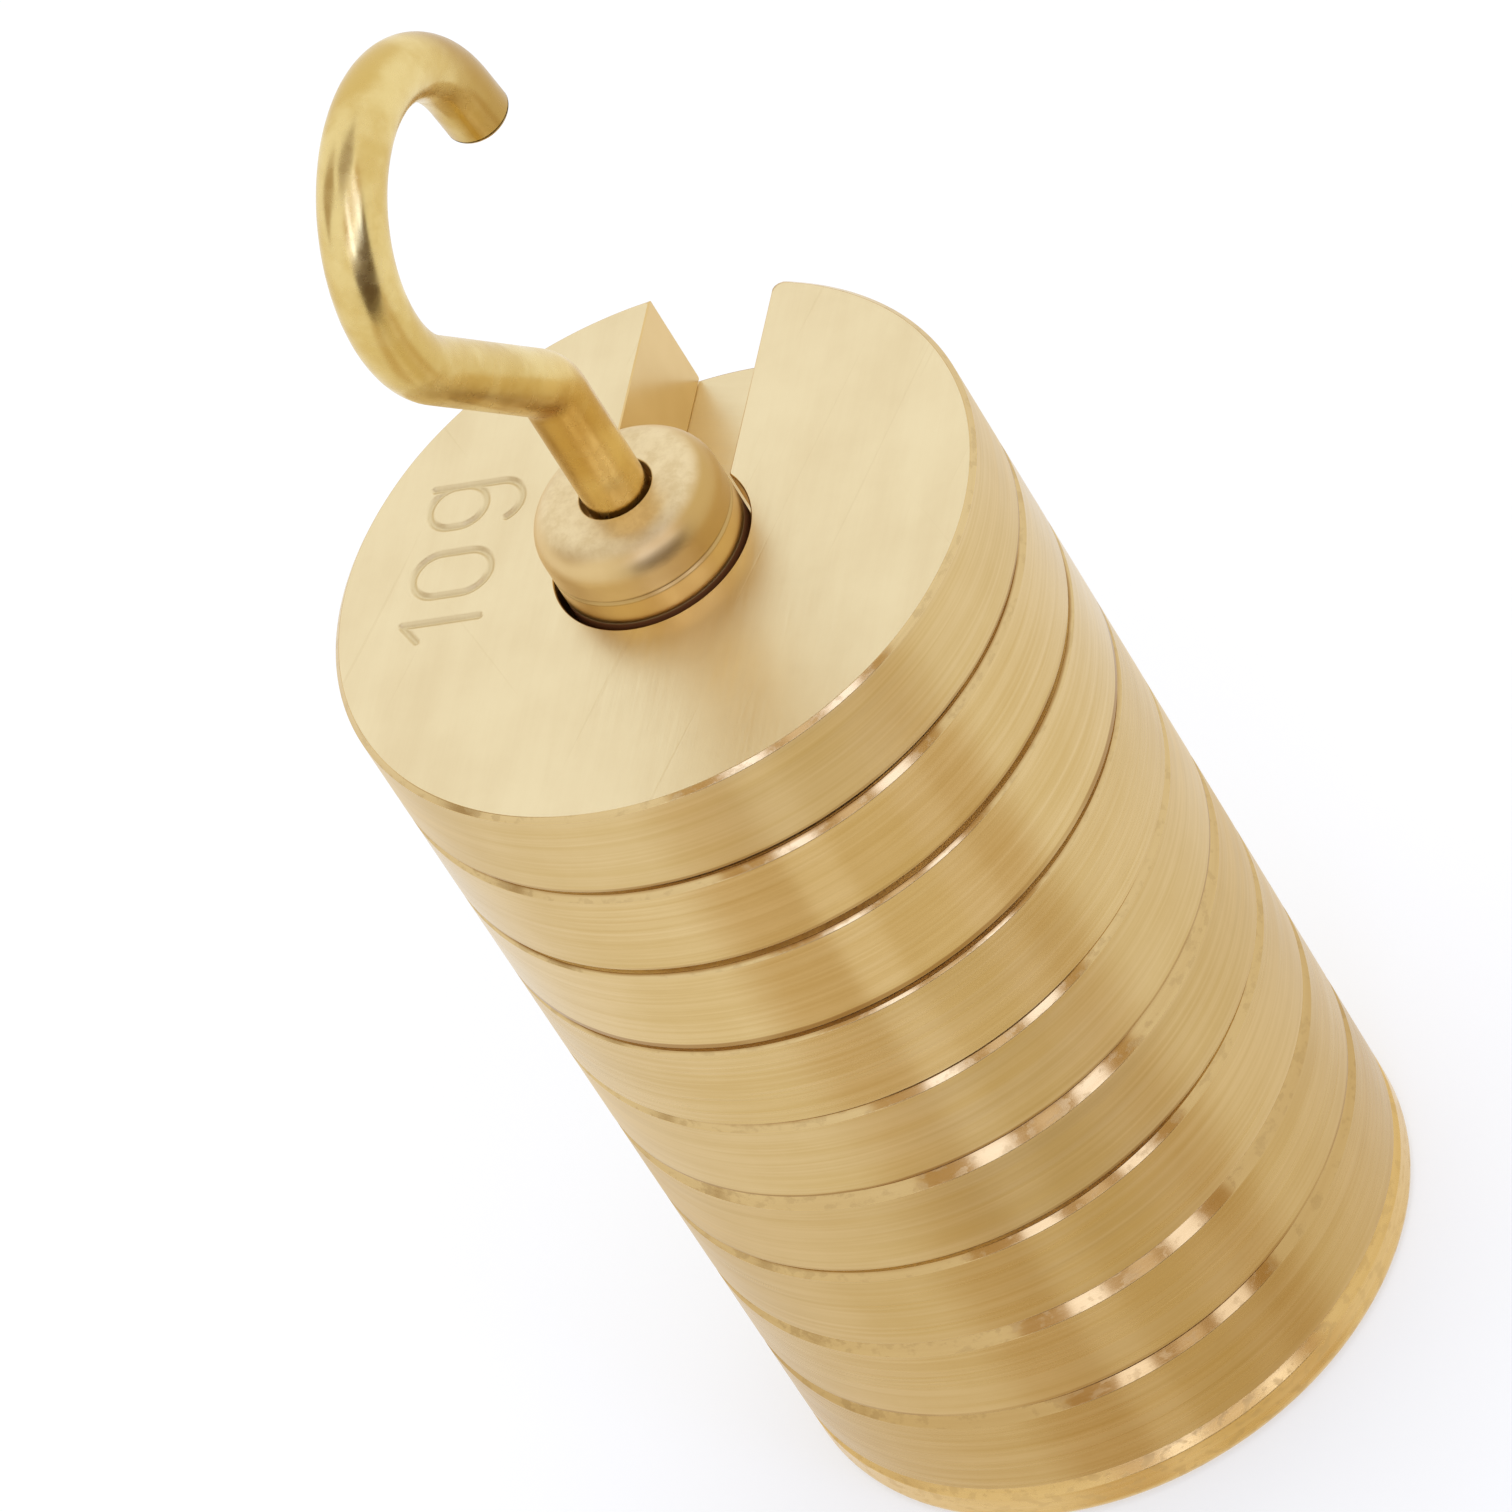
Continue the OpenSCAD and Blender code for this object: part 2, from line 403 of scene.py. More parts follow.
def mark_points(shape):
    """Adds the mark's grid and returns its indices by row, and those of its border."""
    xs, ys, height, slope_x, slope_y = MARK
    x, y = np.meshgrid(xs, ys)
    n = np.stack([-slope_x, -slope_y, np.ones_like(x)], -1)
    n /= np.linalg.norm(n, axis=-1)[..., None]
    points = np.c_[x.ravel(), y.ravel(), (WEIGHT_T + height).ravel()]
    index = shape.add(points, n.reshape(-1, 3)).reshape(x.shape)
    border = np.r_[index[0, :-1], index[:-1, -1], index[-1, :0:-1], index[:0:-1, 0]]
    return index, border


def fill_face(shape, ring, below=False, hole=None):
    """Fills the flat face inside a ring, around the hole that the mark takes."""
    loops = [ring] if hole is None else [ring, hole]
    index = np.concatenate(loops)
    flat = [Vector(shape.points[i][:2]) for i in index]
    edges, start = [], 0
    for loop in loops:
        edges += [(start + i, start + (i + 1) % len(loop)) for i in range(len(loop))]
        start += len(loop)
    _, _, faces, origin, _, _ = delaunay_2d_cdt(flat, edges, [], 1, 1e-7)
    inside = None
    if hole is not None:
        corners = np.array([shape.points[i][:2] for i in hole])
        inside = corners.min(0), corners.max(0)
    for face in faces:
        corners = [index[origin[v][0]] for v in face]
        middle = np.mean([shape.points[c][:2] for c in corners], 0)
        if inside is not None and (inside[0] < middle).all() and (middle < inside[1]).all():
            continue
        shape.face(corners[::-1] if below else corners, PLANE)


# ---------------------------------------------------------------- hanger

def base_shape():
    top = BASE_T + SPIGOT_H
    corners = [
        (0, 0), (WEIGHT_R, 0),
        (WEIGHT_R, BASE_T - BASE_CHAMFER), (WEIGHT_R - BASE_CHAMFER, BASE_T),
        (STEM_BORE_R, BASE_T), (STEM_BORE_R, top - SPIGOT_BREAK),
        (STEM_BORE_R - SPIGOT_BREAK, top), (0, top)]
    shape = Shape()
    shape.lathe(*rounded(corners, [0, BASE_ROUND, 0.05, 0.05, 0.05, 0.05, 0.05, 0],
                         closed=False, steps=10), closed=False)
    return shape


def tube_shape():
    corners = [
        (STEM_BORE_R, BASE_T), (STEM_R, BASE_T), (STEM_R, SEAM_Z - SEAM_BREAK),
        (STEM_R - SEAM_BREAK, SEAM_Z), (STEM_BORE_R, SEAM_Z)]
    shape = Shape()
    shape.lathe(*rounded(corners, [0.02, 0.02, 0.03, 0.03, 0.02]))
    return shape


def head_shape():
    mouth_r = WIRE_R + MOUTH_GAP
    corners = [
        (WIRE_R, PLUG_Z), (STEM_BORE_R, PLUG_Z), (STEM_BORE_R, SEAM_Z),
        (STEM_R - SEAM_BREAK, SEAM_Z), (STEM_R, SEAM_Z + SEAM_BREAK), (STEM_R, HEAD_TOP),
        (mouth_r, HEAD_TOP), (mouth_r, HEAD_TOP - MOUTH_DEPTH), (WIRE_R, HEAD_TOP - MOUTH_DEPTH)]
    shape = Shape()
    shape.lathe(*rounded(corners, [0.02, 0.1, 0.02, 0.03, 0.03, HEAD_ROUND, 0.06, 0.02, 0.02],
                         steps=LATHE_EDGE_STEPS))
    return shape


def hook_path():
    """Middle of the wire in the hook's upright plane, as [across, up] points."""
    lean = math.radians(LEAN)
    bend = stroke_arc((-BEND_R, NECK_TOP), BEND_R, 0, LEAN, 40)
    along = np.array([-math.sin(lean), math.cos(lean)])
    shank_end = bend[-1] + SHANK_L * along
    loop_centre = shank_end + LOOP_R * np.array([math.cos(lean), math.sin(lean)])
    loop = stroke_arc(loop_centre, LOOP_R, 180 + LEAN, -LOOP_SWEEP, 180)
    end = math.radians(180 + LEAN - LOOP_SWEEP)
    tip = loop[-1] + TIP_L * np.array([math.sin(end), -math.cos(end)])
    neck = stroke_line((0, PLUG_Z), (0, NECK_TOP), 24)
    shank = stroke_line(bend[-1], shank_end, 24)
    straight_tip = stroke_line(loop[-1], tip, 8)
    return np.concatenate([neck, bend[1:], shank[1:], loop[1:], straight_tip[1:]])


def hook_shape():
    shape = Shape()
    path = hook_path()
    tangent = np.gradient(path, axis=0)
    tangent /= np.linalg.norm(tangent, axis=1)[:, None]
    across = np.c_[tangent[:, 1], -tangent[:, 0]]
    a = np.linspace(0, 2 * np.pi, WIRE_STEPS, endpoint=False)
    c, s = np.cos(a)[:, None], np.sin(a)[:, None]

    def ring(point, side, ahead, radius, tilt):
        """A ring of the wire; tilt turns its normals from the side towards ahead."""
        round_ = c * np.array([side[0], 0, side[1]]) + s * np.array([0, 1, 0])
        n = round_ * math.cos(tilt) + np.array([ahead[0], 0, ahead[1]]) * math.sin(tilt)
        return shape.add(np.array([point[0], 0, point[1]]) + radius * round_, n)

    rings = [ring(path[k], across[k], tangent[k], WIRE_R, 0) for k in range(len(path) - 1)]
    end, ahead, side = path[-1], tangent[-1], across[-1]
    for k in range(TIP_STEPS + 1):
        tilt = math.radians(90 * k / TIP_STEPS)
        back = TIP_CHAMFER * (1 - math.sin(tilt))
        radius = WIRE_R - TIP_CHAMFER * (1 - math.cos(tilt))
        rings.append(ring(end - ahead * back, side, ahead, radius, tilt))
    for low, high in zip(rings, rings[1:]):
        shape.band(low, high)
    first = shape.add([(path[0][0], 0, path[0][1])], [(0, 0, -1)])
    last = shape.add([(end[0], 0, end[1])], [(ahead[0], 0, ahead[1])])
    shape.fan(rings[0], first[0], flip=True)
    shape.fan(rings[-1], last[0])
    return shape


# ---------------------------------------------------------------- materials

class Nodes:
    """Builds the nodes of a new material, or of a new world.

    Any input takes a value or another node's socket.
    """

    def __init__(self, name, owners=bpy.data.materials):
        self.owner = owners.new(name)
        self.owner.use_nodes = True
        self.tree = self.owner.node_tree
        self.tree.nodes.clear()

    def put(self, kind, inputs=None, **settings):
        node = self.tree.nodes.new("ShaderNode" + kind)
        for key, value in settings.items():
            setattr(node, key, value)
        for key, value in (inputs or {}).items():
            if isinstance(value, bpy.types.NodeSocket):
                self.tree.links.new(value, node.inputs[key])
            else:
                node.inputs[key].default_value = value
        return node

    def math(self, operation, a, b=0.0, clamp=False):
        return self.put("Math", {0: a, 1: b}, operation=operation, use_clamp=clamp).outputs[0]

    def blend(self, *parts):
        """Sum of values, each times its share."""
        shares = [self.math("MULTIPLY", value, share) for value, share in parts]
        total = shares[0]
        for share in shares[1:]:
            total = self.math("ADD", total, share)
        return total

    def mix(self, factor, a, b, blend="MIX"):
        node = self.put("Mix", data_type="RGBA", blend_type=blend, clamp_factor=True)
        for key, value in ((0, factor), (6, a), (7, b)):
            if isinstance(value, bpy.types.NodeSocket):
                self.tree.links.new(value, node.inputs[key])
            else:
                node.inputs[key].default_value = value if key == 0 else (*value, 1)
        return node.outputs[2]

    def ramp(self, value, low, high, to_low=0.0, to_high=1.0):
        """Smooth step of a value from low to high."""
        return self.put("MapRange", {
            "Value": value, "From Min": low, "From Max": high,
            "To Min": to_low, "To Max": to_high}, interpolation_type="SMOOTHSTEP").outputs[0]

    def place(self):
        """Position on the object in its own frame, in metres."""
        return self.put("TexCoord").outputs["Object"]

    def axes(self):
        """The same position as x, y and z."""
        return self.put("SeparateXYZ", {0: self.place()}).outputs

    def noise(self, scale, turn=0.0, shift=0.0, detail=3.0, rough=0.55):
        """Noise, other on each object, whose features are 1 / scale metres along each axis."""
        offset = (shift, shift * 0.7, shift * 1.3)
        spot = self.put("Mapping", {
            "Vector": self.place(), "Rotation": (0, 0, math.radians(turn))}).outputs[0]
        spot = self.put("Mapping", {
            "Vector": spot, "Location": offset, "Scale": scale}).outputs[0]
        own = self.math("MULTIPLY", self.put("ObjectInfo").outputs["Random"], 40.0)
        return self.put("TexNoise", {
            "Vector": spot, "W": own, "Scale": 1.0, "Detail": detail, "Roughness": rough},
            noise_dimensions="4D").outputs[0]

    def bump(self, height, depth, normal=None):
        inputs = {"Height": height, "Distance": depth, "Strength": 1.0}
        if normal is not None:
            inputs["Normal"] = normal
        return self.put("Bump", inputs).outputs[0]

    def metal(self, colour, roughness, normal, spread=0.0, metallic=1.0):
        """Brass. Spread stretches its gloss along the axis, across the turning lines."""
        inputs = {
            "Base Color": colour, "Metallic": metallic, "Roughness": roughness, "Normal": normal}
        if spread:
            tangent = self.put("Tangent", direction_type="RADIAL", axis="Z").outputs[0]
            inputs |= {"Anisotropic": spread, "Anisotropic Rotation": 0.25, "Tangent": tangent}
        shader = self.put("BsdfPrincipled", inputs)
        self.put("OutputMaterial", {"Surface": shader.outputs[0]})
        return self.owner


def brushed_brass(turn, marked=False):
    """Flat faces, rubbed on abrasive paper along the slot: pale, with a few long scratches.

    The engraved mark is duller and darker in its strokes.
    """
    m = Nodes(f"{'marked' if marked else 'brushed'}_brass_{turn}")
    fine = m.noise((420, 17000, 420), turn=-turn, detail=4, rough=0.7)
    broad = m.noise((90, 700, 90), turn=-turn, shift=3, detail=3)
    cloud = m.noise((230, 230, 230), shift=7, detail=5, rough=0.6)
    scratch_a = m.ramp(m.noise((70, 5200, 70), turn=14 - turn, shift=11, detail=1), 0.68, 0.74)
    scratch_b = m.ramp(m.noise((60, 4300, 60), turn=-38 - turn, shift=17, detail=1), 0.70, 0.76)
    scratches = m.math("MAXIMUM", scratch_a, scratch_b)
    tone = m.blend((broad, 0.4), (cloud, 0.6))
    colour = m.mix(m.ramp(tone, 0.35, 0.65), (0.81, 0.67, 0.41), (0.87, 0.74, 0.47))
    colour = m.mix(m.math("MULTIPLY", scratches, 0.12), colour, (0.60, 0.44, 0.20))
    roughness = m.ramp(fine, 0.3, 0.7, 0.30, 0.42)
    if marked:
        z = m.axes()[2]
        stroke = m.ramp(z, (WEIGHT_T - 0.08) * MM, (WEIGHT_T - 0.002) * MM, 1.0, 0.0)
        colour = m.mix(m.math("MULTIPLY", stroke, 0.22), colour, (0.50, 0.40, 0.18))
        roughness = m.math("ADD", roughness, m.math("MULTIPLY", stroke, 0.12))
    normal = m.bump(fine, 2.2e-6)
    normal = m.bump(scratches, -3e-6, normal)
    return m.metal(colour, roughness, normal)


def turned_brass(name, light, dark, line_depth, roughness, spread=0.6, joint=False, nicks=0.0,
                 dulled=False):
    """Turned surfaces: fine tool lines around the axis.

    joint adds a weight's tone and the grime and painted shade in its joints, nicks are specks of
    wear, and dulled takes the weight's dullness from its object.
    """
    m = Nodes(name)
    lines = m.noise((90, 90, 6500), detail=3, rough=0.6)
    bands = m.noise((60, 60, 2600), shift=5, detail=3)
    cloud = m.noise((150, 150, 150), shift=9, detail=5, rough=0.6)
    tone = m.blend((bands, 0.3), (cloud, 0.35), (lines, 0.35))
    colour = m.mix(m.ramp(tone, 0.35, 0.65), dark, light)
    rough = m.ramp(bands, 0.3, 0.7, roughness * 0.9, roughness * 1.15)
    normal = m.bump(lines, line_depth)
    if nicks:
        nick = m.ramp(m.noise((2200, 2200, 4200), shift=31, detail=4), 0.50, 0.62)
        colour = m.mix(m.math("MULTIPLY", nick, nicks), colour, (0.40, 0.27, 0.12))
        rough = m.math("ADD", rough, m.math("MULTIPLY", nick, 0.10))
    if joint:
        colour = joint_grime_and_shade(m, colour)
    if dulled:
        rough = m.math("MULTIPLY", rough, m.put("ObjectInfo").outputs["Alpha"])
    return m.metal(colour, rough, normal, spread)


# Heights on a weight over which the grime and painted shade of its joints fade, and how far they
# wave
GRIME_AND_SHADE_LOW = 0.36, 0.44
GRIME_AND_SHADE_HIGH = 3.88, 3.96
GRIME_AND_SHADE_WAVE = 0.12


def joint_grime_and_shade(m, colour):
    """Shades a weight by its object's colour.

    Red is its tone, green the grime and painted shade along its top edge, blue the grime and
    painted shade along its lower edge, and alpha its dullness.
    """
    own = m.put("SeparateColor", {0: m.put("ObjectInfo").outputs["Color"]})
    tone = own.outputs[0]
    tint = m.put("CombineColor", {
        0: tone, 1: m.math("POWER", tone, 1.5), 2: m.math("POWER", tone, 2.5)}).outputs[0]
    colour = m.mix(1.0, colour, tint, blend="MULTIPLY")
    z = m.axes()[2]
    spots = m.noise((130, 130, 40), shift=21, detail=4)
    wave = m.math("MULTIPLY", m.noise((300, 300, 60), shift=25, detail=3), GRIME_AND_SHADE_WAVE * MM)
    # Grime and painted shade darken each weight along its lower and its top edge, in the joints
    # between weights
    low = m.ramp(m.math("SUBTRACT", z, wave), GRIME_AND_SHADE_LOW[0] * MM, GRIME_AND_SHADE_LOW[1] * MM, 1.0, 0.0)
    high = m.ramp(m.math("ADD", z, wave), GRIME_AND_SHADE_HIGH[0] * MM, GRIME_AND_SHADE_HIGH[1] * MM)
    cover = []
    for edge, amount in ((low, own.outputs[2]), (high, own.outputs[1])):
        reach = m.math("ADD", m.math("MULTIPLY", m.math("SUBTRACT", spots, 0.5), 1.6), amount)
        cover.append(m.math("MULTIPLY", edge, m.ramp(reach, 0.25, 0.85)))
    grime_and_shade = m.math("MULTIPLY", m.math("MAXIMUM", *cover), 0.85)
    return m.mix(grime_and_shade, colour, (0.36, 0.19, 0.05))


def milled_brass():
    """Walls of the slot and the bore."""
    m = Nodes("milled_brass")
    lines = m.noise((400, 400, 9000), detail=3)
    cloud = m.noise((200, 200, 200), shift=2, detail=3)
    colour = m.mix(m.ramp(cloud, 0.35, 0.65), (0.69, 0.48, 0.20), (0.77, 0.56, 0.26))
    return m.metal(colour, 0.28, m.bump(lines, 1e-6))


def seam_painted_shade(m, colour, z):
    """Painted shade on the broken edges on both sides of the seam between the tube and the head.
    """
    near, far = SEAM_BREAK, 2 * SEAM_BREAK
    low = m.ramp(z, (SEAM_Z - far) * MM, (SEAM_Z - near) * MM)
    high = m.ramp(z, (SEAM_Z + near) * MM, (SEAM_Z + far) * MM, 1.0, 0.0)
    # Painted shade darkens the seam's broken edges
    cover = m.math("MULTIPLY", m.math("MULTIPLY", low, high), 0.6)
    return m.mix(cover, colour, (0.40, 0.25, 0.08))


def head_brass():
    """The head: a pale grained top, and a darker turned side with painted shade towards -Y."""
    m = Nodes("head_brass")
    lines = m.noise((300, 300, 9000), detail=3, rough=0.7)
    grain = m.noise((1800, 1800, 1800), shift=13, detail=4, rough=0.7)
    cloud = m.noise((200, 200, 200), shift=9, detail=4)
    _, y, z = m.axes()
    top = m.ramp(z, (HEAD_TOP - 0.35) * MM, (HEAD_TOP - 0.02) * MM)
    # Painted shade darkens the head's side towards -Y
    painted_side_shade = m.ramp(y, -2.8 * MM, -1.1 * MM, 0.9, 0.0)
    side = m.mix(m.ramp(cloud, 0.35, 0.65), (0.66, 0.46, 0.19), (0.77, 0.57, 0.28))
    side = seam_painted_shade(m, m.mix(painted_side_shade, side, (0.57, 0.365, 0.12)), z)
    face = m.mix(m.ramp(grain, 0.35, 0.65), (0.76, 0.60, 0.34), (0.86, 0.71, 0.44))
    colour = m.mix(top, side, face)
    normal = m.bump(grain, 4e-6, m.bump(lines, 2e-6))
    return m.metal(colour, m.math("ADD", m.math("MULTIPLY", top, 0.04), 0.40), normal, 0.3)


def tube_brass():
    """The stem tube: amber, with a dark ring of dirt and painted shade at the mouth of the top
    weight's bore.
    """
    m = Nodes("tube_brass")
    lines = m.noise((90, 90, 12000), detail=3, rough=0.7)
    cloud = m.noise((160, 160, 160), shift=9, detail=4)
    colour = m.mix(m.ramp(cloud, 0.35, 0.65), (0.66, 0.43, 0.15), (0.75, 0.53, 0.22))
    z = m.axes()[2]
    # A dark ring of dirt and painted shade where the tube goes into the top weight's bore
    below = m.ramp(z, (STACK_TOP - 0.02) * MM, (STACK_TOP + 0.08) * MM, 1.0, 0.0)
    above = m.ramp(z, (STACK_TOP - 0.90) * MM, (STACK_TOP - 0.50) * MM)
    dirt_and_shade = m.math("MULTIPLY", below, above)
    colour = m.mix(dirt_and_shade, seam_painted_shade(m, colour, z), (0.17, 0.055, 0.012))
    return m.metal(colour, m.math("ADD", m.math("MULTIPLY", dirt_and_shade, 0.25), 0.30),
                   m.bump(lines, 1e-6), metallic=m.math("SUBTRACT", 1.0, dirt_and_shade))


def drawn_wire():
    """The hook's wire: smooth and yellow, more amber down at the neck, and a darker amber of
    painted shade at the tip.
    """
    m = Nodes("drawn_wire")
    cloud = m.noise((380, 380, 380), detail=4)
    grain = m.noise((1500, 1500, 1500), shift=4, detail=4, rough=0.6)
    tone = m.ramp(cloud, 0.38, 0.62)
    upper = m.mix(tone, (0.67, 0.475, 0.15), (0.81, 0.64, 0.28))
    lower = m.mix(tone, (0.62, 0.39, 0.10), (0.78, 0.56, 0.20))
    x, _, z = m.axes()
    colour = m.mix(m.ramp(z, (NECK_TOP - 0.5) * MM, (NECK_TOP + 3.5) * MM), lower, upper)
    # Painted shade darkens the tip of the hook
    tip = m.math("MULTIPLY", m.ramp(x, 2.4 * MM, 3.8 * MM), 0.9)
    colour = m.mix(tip, colour, (0.46, 0.27, 0.055))
    return m.metal(colour, m.ramp(grain, 0.3, 0.7, 0.20, 0.31), m.bump(grain, 2e-6))


# ---------------------------------------------------------------- pieces

face_brass = [
    [brushed_brass(turn), brushed_brass(turn, marked=True)] for turn in (0, STAGGER)]
rim = turned_brass("turned_rim", (0.75, 0.56, 0.28), (0.63, 0.44, 0.17), 6e-6, 0.30,
                   spread=0.8, joint=True, dulled=True)
edge = turned_brass("turned_edge", (0.72, 0.54, 0.27), (0.65, 0.47, 0.22), 2e-6, 0.13,
                    spread=0.3, joint=True, nicks=0.22)
base_brass = turned_brass("turned_base", (0.74, 0.51, 0.21), (0.66, 0.43, 0.15), 2e-6, 0.26,
                          nicks=0.12)
milled = milled_brass()

# Of each weight from the lowest: its tone, the grime and painted shade along its top edge and
# along its lower edge, and its dullness; then the widths of its lower and its upper chamfer
SHADES = [
    (0.82, 0.3, 0.3, 0.9), (0.87, 0.0, 0.6, 0.9), (0.90, 0.3, 0.0, 1.0), (0.93, 0.4, 0.5, 1.2),
    (0.97, 0.3, 0.75, 1.05), (0.97, 0.6, 0.1, 0.9), (0.99, 0.8, 0.7, 0.7), (0.98, 0.7, 0.55, 0.7),
    (1.01, 0.0, 0.62, 1.05)]
CHAMFERS = [
    (0.28, 0.33), (0.36, 0.36), (0.36, 0.22), (0.38, 0.36), (0.38, 0.20), (0.25, 0.10),
    (0.27, 0.12), (0.36, 0.20), (0.36, 0.16)]

for number, (shade, chamfers) in enumerate(zip(SHADES, CHAMFERS), 1):
    turned = (WEIGHT_COUNT - number) % 2    # 1 for every second weight below the top one
    name = f"weight_{number}"
    worn = WORN_R if number == WEIGHT_COUNT else CORNER_R
    piece = weight_shape(number, *chamfers, worn).make(
        name, name, "weight_brass", [rim, edge, milled, *face_brass[turned]],
        turn=STAGGER * turned, height=BASE_T + (number - 1) * WEIGHT_T)
    piece.color = shade

base_shape().make("base_plate", "hanger", "hanger_brass", [base_brass])
tube_shape().make("stem_tube", "hanger", "hanger_brass", [tube_brass()])
head_shape().make("stem_head", "hanger", "hanger_brass", [head_brass()])
hook_shape().make("hook", "hanger", "wire_brass", [drawn_wire()], turn=HOOK_TURN)


# ---------------------------------------------------------------- stage

# The photo's camera, from a fit to the outlines and joints of the stack
CAMERA_PLACE = Vector((-265.107, -180.158, 317.209)) * MM
CAMERA_AIM = Vector((-0.462, 0.675, 26.934)) * MM
CAMERA_ROLL = -32.81
CAMERA_LENS = 326.6
SENSOR_W = 36

# Height on the object that lamps and cards face, and their distances from its foot
STAGE_AIM = 20
NEAR = 0.8
FAR = 1.0

# The narrow panels that the chamfers mirror, and the cool light that whitens their brass
PANEL_UP = 46
PANEL_SIZE = (0.14, 0.46)
PANEL_POWER = 2.4
COOL = (0.42, 0.55, 1.0)


def toward(azimuth, elevation, distance):
    """A place seen from the object's foot, at an azimuth from the camera's own, in degrees."""
    own = math.atan2(CAMERA_PLACE.y, CAMERA_PLACE.x)
    a, e = own + math.radians(azimuth), math.radians(elevation)
    return Vector((math.cos(a) * math.cos(e), math.sin(a) * math.cos(e), math.sin(e))) * distance


def face_object(thing):
    middle = Vector((0, 0, STAGE_AIM * MM))
    thing.rotation_mode = "QUATERNION"
    thing.rotation_quaternion = (middle - thing.location).to_track_quat("-Z", "Y")


def add_lamp(name, place, size, brightness, colour=(1, 1, 1)):
    """A soft rectangular lamp that faces the object. Brightness 1 looks white."""
    light = bpy.data.lights.new(name, "AREA")
    light.shape = "RECTANGLE"
    light.size, light.size_y = size
    light.energy = brightness * math.pi * size[0] * size[1]
    light.color = colour
    lamp = bpy.data.objects.new(name, light)
    lamp.location = place
    bpy.context.scene.collection.objects.link(lamp)
    face_object(lamp)
    lamp.visible_camera = False
    return lamp


def add_sheet(name, size, material, z=0):
    """A flat rectangle at a height in its own frame."""
    mesh = bpy.data.meshes.new(name)
    w, h = size[0] / 2, size[1] / 2
    mesh.from_pydata([(-w, -h, z), (w, -h, z), (w, h, z), (-w, h, z)], [], [(0, 1, 2, 3)])
    mesh.materials.append(material)
    sheet = bpy.data.objects.new(name, mesh)
    bpy.context.scene.collection.objects.link(sheet)
    return sheet


def add_card(name, size, place, material):
    """A card that only gloss on the metal sees."""
    card = add_sheet(name, size, material)
    card.visible_camera = False
    card.visible_diffuse = False
    card.visible_transmission = False
    card.visible_shadow = False
    card.location = place
    face_object(card)


def room_shade(low, high):
    """A dim part of the room, from one colour at its foot to another at its top."""
    m = Nodes("room_shade")
    y = m.axes()[1]
    colour = m.mix(m.ramp(y, -0.1, 0.3), low, high)
    m.put("OutputMaterial", {"Surface": m.put("Emission", {"Color": colour}).outputs[0]})
    return m.owner


# The front card's angle below the object, which is the one that the upright rims mirror
FRONT_DROP = 42
FRONT_W = 2.6
FRONT_H = 1.1


def front_shade():
    """What the rims mirror from below the camera: a warm shade with two bright bands.

    Each stop is an azimuth from the camera's own, a colour and how much of it covers.
    """
    dim, left, right = (0.80, 0.69, 0.52), (1.00, 0.96, 0.90), (0.92, 0.85, 0.76)
    middle = (0.88, 0.80, 0.63)
    stops = [
        (-60, dim, 0), (-44, dim, 1), (-22, dim, 1), (-19, left, 1), (-6, left, 1),
        (-3, middle, 1), (20, middle, 1), (23, right, 1), (34, right, 1), (37, dim, 1),
        (50, dim, 1), (62, dim, 0)]
    m = Nodes("front_shade")
    x = m.axes()[0]
    ramp = m.put("ValToRGB", {0: m.math("ADD", m.math("DIVIDE", x, FRONT_W), 0.5)})
    elements = ramp.color_ramp.elements
    elements[0].color = elements[1].color = (*dim, 0)
    drop = math.radians(FRONT_DROP)
    for azimuth, colour, cover in stops:
        a = math.radians(azimuth)
        reach = 1 / (math.cos(drop) ** 2 * math.cos(a) + math.sin(drop) ** 2)
        elements.new(0.5 + reach * math.cos(drop) * math.sin(a) / FRONT_W).color = (*colour, cover)
    clear = m.put("BsdfTransparent").outputs[0]
    shade = m.put("Emission", {"Color": ramp.outputs["Color"]}).outputs[0]
    both = m.put("MixShader", {0: ramp.outputs["Alpha"], 1: clear, 2: shade}).outputs[0]
    m.put("OutputMaterial", {"Surface": both})
    return m.owner


def seen_white(m):
    """1 for rays of the camera, gloss and glass, which see a white background."""
    rays = m.put("LightPath").outputs
    total = m.math("ADD", rays["Is Camera Ray"], rays["Is Glossy Ray"])
    return m.math("ADD", total, rays["Is Transmission Ray"], clamp=True)


def floor_paper():
    """Pale paper that keeps the object's shadow and glows a little where it is seen."""
    m = Nodes("floor_paper")
    glow = m.math("MULTIPLY", seen_white(m), FLOOR_GLOW)
    paper = m.put("BsdfDiffuse", {"Color": (0.97, 0.97, 0.97, 1)}).outputs[0]
    white = m.put("Emission", {"Color": (1, 1, 1, 1)}).outputs[0]
    both = m.put("MixShader", {0: glow, 1: paper, 2: white}).outputs[0]
    m.put("OutputMaterial", {"Surface": both})
    return m.owner


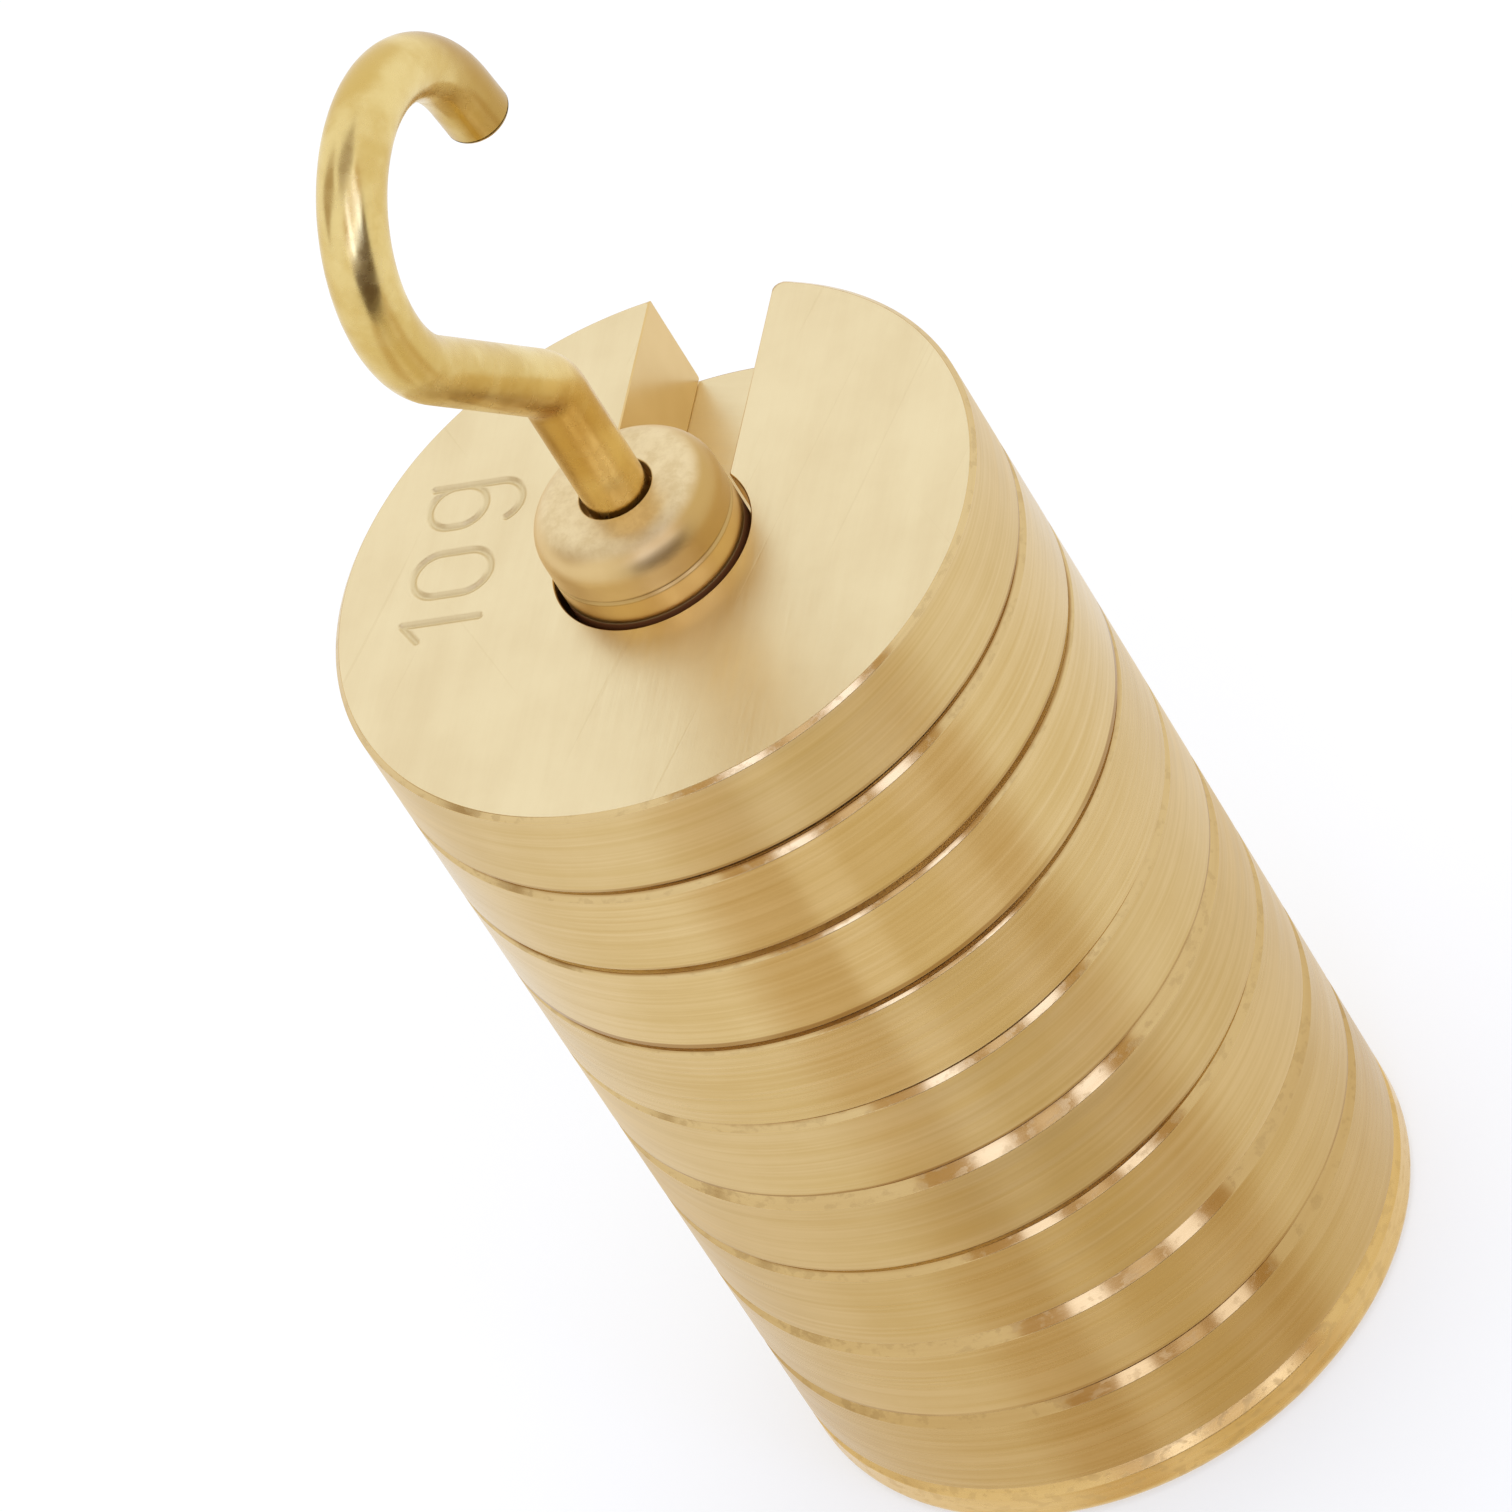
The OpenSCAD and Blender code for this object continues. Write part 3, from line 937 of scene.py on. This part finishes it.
def light_world(strength):
    """A white world of this strength, which looks fully white where it is seen."""
    m = Nodes("studio", bpy.data.worlds)
    soft = m.put("Background", {"Color": (1, 1, 1, 1), "Strength": strength}).outputs[0]
    bright = m.put("Background", {"Color": (1, 1, 1, 1), "Strength": 1.0}).outputs[0]
    both = m.put("MixShader", {0: seen_white(m), 1: soft, 2: bright}).outputs[0]
    m.put("OutputWorld", {"Surface": both})
    bpy.context.scene.world = m.owner


# The floor lies a hair below the object, so that the two don't share a plane
FLOOR_GLOW = 0.5
FLOOR_SIZE = 6
FLOOR_Z = -1e-5
floor = add_sheet("floor", (FLOOR_SIZE, FLOOR_SIZE), floor_paper(), FLOOR_Z)
floor.visible_glossy = False
light_world(0.7)

add_card("dim_room", (1.35, 1.45), toward(4, 25, FAR),
         room_shade((0.12, 0.08, 0.05), (0.62, 0.45, 0.24)))
add_card("dim_ceiling", (0.7, 0.5), toward(0, 84, FAR),
         room_shade((0.45, 0.38, 0.32), (0.45, 0.38, 0.32)))
add_card("dim_left", (0.5, 0.7), toward(-115, 40, FAR),
         room_shade((0.50, 0.40, 0.28), (0.50, 0.40, 0.28)))
add_card("dim_front", (FRONT_W, FRONT_H), toward(0, -FRONT_DROP, FAR), front_shade())

add_lamp("left_panel", toward(-13.5, PANEL_UP, NEAR), PANEL_SIZE, PANEL_POWER, COOL)
add_lamp("right_panel", toward(27, PANEL_UP, NEAR), PANEL_SIZE, PANEL_POWER, COOL)
add_lamp("middle_panel", toward(8.5, PANEL_UP, NEAR), (0.10, 0.46), 0.5, (0.6, 0.7, 1.0))
add_lamp("low_panel", toward(-2, 36, NEAR), (0.95, 0.20), 1.7, (0.45, 0.58, 1.0))
key = add_lamp("top_panel", toward(160, 75, FAR), (0.9, 0.9), 1.6)
key.visible_glossy = False

camera_data = bpy.data.cameras.new("camera")
camera_data.lens = CAMERA_LENS
camera_data.sensor_width = SENSOR_W
camera_data.clip_start = 0.01
camera_data.clip_end = 20
camera = bpy.data.objects.new("camera", camera_data)
bpy.context.scene.collection.objects.link(camera)
look = (CAMERA_AIM - CAMERA_PLACE).to_track_quat("-Z", "Y").to_matrix().to_4x4()
camera.matrix_world = (
    Matrix.Translation(CAMERA_PLACE) @ look @ Matrix.Rotation(math.radians(CAMERA_ROLL), 4, "Z"))
bpy.context.scene.camera = camera

bpy.context.scene.view_settings.view_transform = "Standard"
